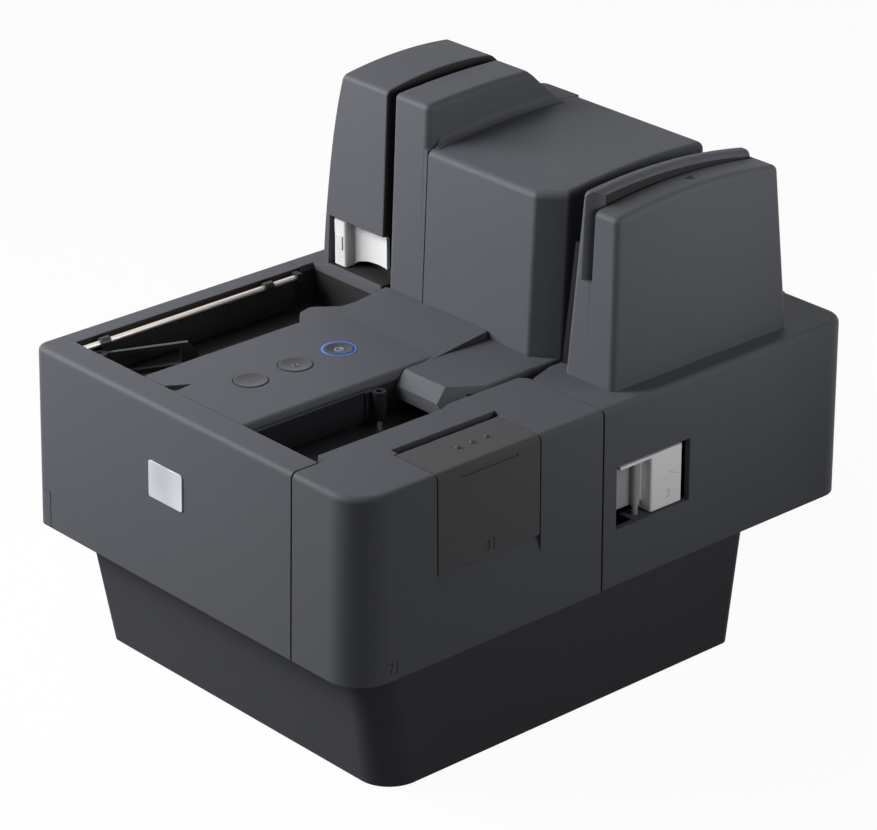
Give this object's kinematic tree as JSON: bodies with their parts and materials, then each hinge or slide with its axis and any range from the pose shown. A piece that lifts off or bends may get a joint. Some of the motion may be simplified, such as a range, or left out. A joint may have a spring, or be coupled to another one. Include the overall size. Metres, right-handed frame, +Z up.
{
  "type": "cheque scanner",
  "caption": "Desktop cheque scanner with a U-shaped document track, swing-out covers, feed hopper, exit pocket, card reader tower, imprinter door and control buttons.",
  "frame": {"origin": "on the table, under the middle of the body", "axes": "+X to the right seen from the front, +Y to the back, +Z up"},
  "size_m": [0.225, 0.298, 0.2466],
  "materials": {
    "base_shell": "fine matte texture",
    "foot_rubber": "matte",
    "screw_steel": "plated",
    "inner_black": "satin black",
    "socket_black": "satin",
    "bearing_brass": "sintered",
    "pin_steel": "polished pin",
    "shell_charcoal": "fine matte texture",
    "badge_grey": "blank tile",
    "guide_black": "glossy black",
    "sensor_glass": "clear",
    "head_steel": "ground face",
    "lever_white": "white",
    "board_green": "solder mask",
    "button_dark": "satin",
    "light_blue": "translucent ring",
    "hopper_black": "black",
    "belt_rubber": "toothed belt",
    "motor_steel": "motor can",
    "pulley_white": "acetal",
    "roller_rubber": "ground rubber"
  },
  "bodies": {
    "chassis": {"base_housing": "base_shell", "bottom_plate": "base_shell", "rubber_feet": "foot_rubber", "base_screws": "screw_steel", "connector_panel": "inner_black", "rear_sockets": "socket_black", "main_frame": "inner_black", "track_deck": "inner_black", "roller_bearings": "bearing_brass", "pivot_pins": "pin_steel", "front_panel": "shell_charcoal", "front_badge": "badge_grey", "left_housing": "shell_charcoal", "right_front_cover": "shell_charcoal", "ink_cartridge": "inner_black", "rear_cover": "shell_charcoal", "hinge_pins": "pin_steel", "rear_track_guide": "guide_black", "centre_tower_shell": "shell_charcoal", "inner_tower_cover": "shell_charcoal", "inner_image_sensor": "inner_black", "inner_sensor_glass": "sensor_glass", "magnetic_ink_head": "head_steel", "control_panel": "shell_charcoal", "control_board": "board_green", "power_light_ring": "light_blue", "feeder_cover": "shell_charcoal", "hopper_floor": "hopper_black", "exit_guide_rod": "pin_steel", "drive_belt": "belt_rubber", "drive_motor": "motor_steel", "main_board": "board_green"},
    "door": {"imprinter_door": "shell_charcoal"},
    "right_cover": {"right_transport_cover": "shell_charcoal", "right_track_guide": "guide_black", "magnetic_stripe_head": "head_steel"},
    "left_cover": {"left_transport_cover": "shell_charcoal", "left_track_guide": "guide_black", "left_image_sensor": "inner_black", "left_sensor_glass": "sensor_glass"},
    "right_lever": {"right_release_lever": "lever_white"},
    "left_lever": {"left_release_lever": "lever_white"},
    "start_key": {"start_button": "button_dark"},
    "stop_key": {"stop_button": "button_dark"},
    "power_key": {"power_button": "button_dark"},
    "hopper_pusher": {"hopper_plate": "guide_black"},
    "exit_plate": {"exit_guide_plate": "guide_black"},
    "exit_swing_arm": {"exit_arm": "guide_black"},
    "motor_spindle": {"motor_pulley": "pulley_white"},
    "feeder": {"feed_roller": "roller_rubber"},
    "retarder": {"retard_roller": "roller_rubber"},
    "picker": {"pickup_roller": "roller_rubber"},
    "driver_1": {"drive_roller_1": "roller_rubber"},
    "idler_1": {"idler_roller_1": "roller_rubber"},
    "driver_2": {"drive_roller_2": "roller_rubber"},
    "idler_2": {"idler_roller_2": "roller_rubber"},
    "driver_3": {"drive_roller_3": "roller_rubber"},
    "idler_3": {"idler_roller_3": "roller_rubber"},
    "driver_4": {"drive_roller_4": "roller_rubber"},
    "idler_4": {"idler_roller_4": "roller_rubber"}
  },
  "joints": [
    {"name": "door_hinge", "type": "hinge", "parent": "chassis", "child": "door", "pos_m": [0.111, -0.07345, 0.0988], "axis": [0, 1, 0], "range_deg": [0, 55]},
    {"name": "right_cover_hinge", "type": "hinge", "parent": "chassis", "child": "right_cover", "pos_m": [0.064, 0.145, 0.1], "axis": [0, 0, 1], "range_deg": [0, 35]},
    {"name": "left_cover_hinge", "type": "hinge", "parent": "chassis", "child": "left_cover", "pos_m": [-0.058, 0.145, 0.1], "axis": [0, 0, -1], "range_deg": [0, 35]},
    {"name": "right_lever_hinge", "type": "hinge", "parent": "right_cover", "child": "right_lever", "pos_m": [0.106, 0.0193, 0.1], "axis": [0, 0, -1], "range_deg": [0, 12], "stiffness_Nm_per_rad": 0.4},
    {"name": "left_lever_hinge", "type": "hinge", "parent": "left_cover", "child": "left_lever", "pos_m": [-0.0838, 0.017, 0.16], "axis": [0, 0, -1], "range_deg": [0, 12], "stiffness_Nm_per_rad": 0.4},
    {"name": "start_press", "type": "slide", "parent": "chassis", "child": "start_key", "axis": [0, 0, -1], "range_m": [0, 0.001], "stiffness_N_per_m": 800},
    {"name": "stop_press", "type": "slide", "parent": "chassis", "child": "stop_key", "axis": [0, 0, -1], "range_m": [0, 0.001], "stiffness_N_per_m": 800},
    {"name": "power_press", "type": "slide", "parent": "chassis", "child": "power_key", "axis": [0, 0, -1], "range_m": [0, 0.001], "stiffness_N_per_m": 800},
    {"name": "hopper_plate_swing", "type": "hinge", "parent": "chassis", "child": "hopper_pusher", "pos_m": [0.026, -0.0605, 0.134], "axis": [0, 0, 1], "range_deg": [0, 20], "stiffness_Nm_per_rad": 0.05},
    {"name": "exit_plate_swing", "type": "hinge", "parent": "chassis", "child": "exit_plate", "pos_m": [-0.098, -0.07, 0.142], "axis": [0, -1, 0], "range_deg": [0, 10], "stiffness_Nm_per_rad": 0.02},
    {"name": "exit_arm_swing", "type": "hinge", "parent": "chassis", "child": "exit_swing_arm", "pos_m": [-0.093, -0.124, 0.134], "axis": [0, 0, 1], "range_deg": [0, 12], "stiffness_Nm_per_rad": 0.02},
    {"name": "drive_spin_1", "type": "hinge", "parent": "chassis", "child": "driver_1", "pos_m": [0.05135, 0.034, 0.13], "axis": [0, 0, 1], "continuous": true},
    {"name": "drive_spin_2", "type": "hinge", "parent": "chassis", "child": "driver_2", "pos_m": [0.05135, 0.076, 0.13], "axis": [0, 0, 1], "continuous": true},
    {"name": "drive_spin_3", "type": "hinge", "parent": "chassis", "child": "driver_3", "pos_m": [-0.04115, 0.076, 0.13], "axis": [0, 0, 1], "continuous": true},
    {"name": "drive_spin_4", "type": "hinge", "parent": "chassis", "child": "driver_4", "pos_m": [-0.04115, 0.034, 0.13], "axis": [0, 0, 1], "continuous": true},
    {"name": "motor_spin", "type": "hinge", "parent": "chassis", "child": "motor_spindle", "pos_m": [0.005, 0.034, 0.115], "axis": [0, 0, 1], "continuous": true},
    {"name": "idler_spin_1", "type": "hinge", "parent": "right_cover", "child": "idler_1", "pos_m": [0.06665, 0.034, 0.135], "axis": [0, 0, 1], "continuous": true},
    {"name": "idler_spin_2", "type": "hinge", "parent": "right_cover", "child": "idler_2", "pos_m": [0.06665, 0.076, 0.135], "axis": [0, 0, 1], "continuous": true},
    {"name": "idler_spin_3", "type": "hinge", "parent": "left_cover", "child": "idler_3", "pos_m": [-0.05645, 0.076, 0.135], "axis": [0, 0, 1], "continuous": true},
    {"name": "idler_spin_4", "type": "hinge", "parent": "left_cover", "child": "idler_4", "pos_m": [-0.05645, 0.034, 0.135], "axis": [0, 0, 1], "continuous": true},
    {"name": "feed_spin", "type": "hinge", "parent": "chassis", "child": "feeder", "pos_m": [0.0522, -0.026, 0.13], "axis": [0, 0, 1], "continuous": true},
    {"name": "retard_spin", "type": "hinge", "parent": "chassis", "child": "retarder", "pos_m": [0.069, -0.026, 0.134], "axis": [0, 0, 1], "continuous": true},
    {"name": "pickup_spin", "type": "hinge", "parent": "chassis", "child": "picker", "pos_m": [0.0706, -0.072, 0.134], "axis": [0, 0, 1], "continuous": true}
  ],
  "couplings": [
    {"joint": "drive_spin_2", "follows": "drive_spin_1", "ratio": 1},
    {"joint": "drive_spin_3", "follows": "drive_spin_1", "ratio": 1},
    {"joint": "drive_spin_4", "follows": "drive_spin_1", "ratio": 1},
    {"joint": "motor_spin", "follows": "drive_spin_1", "ratio": 1}
  ]
}
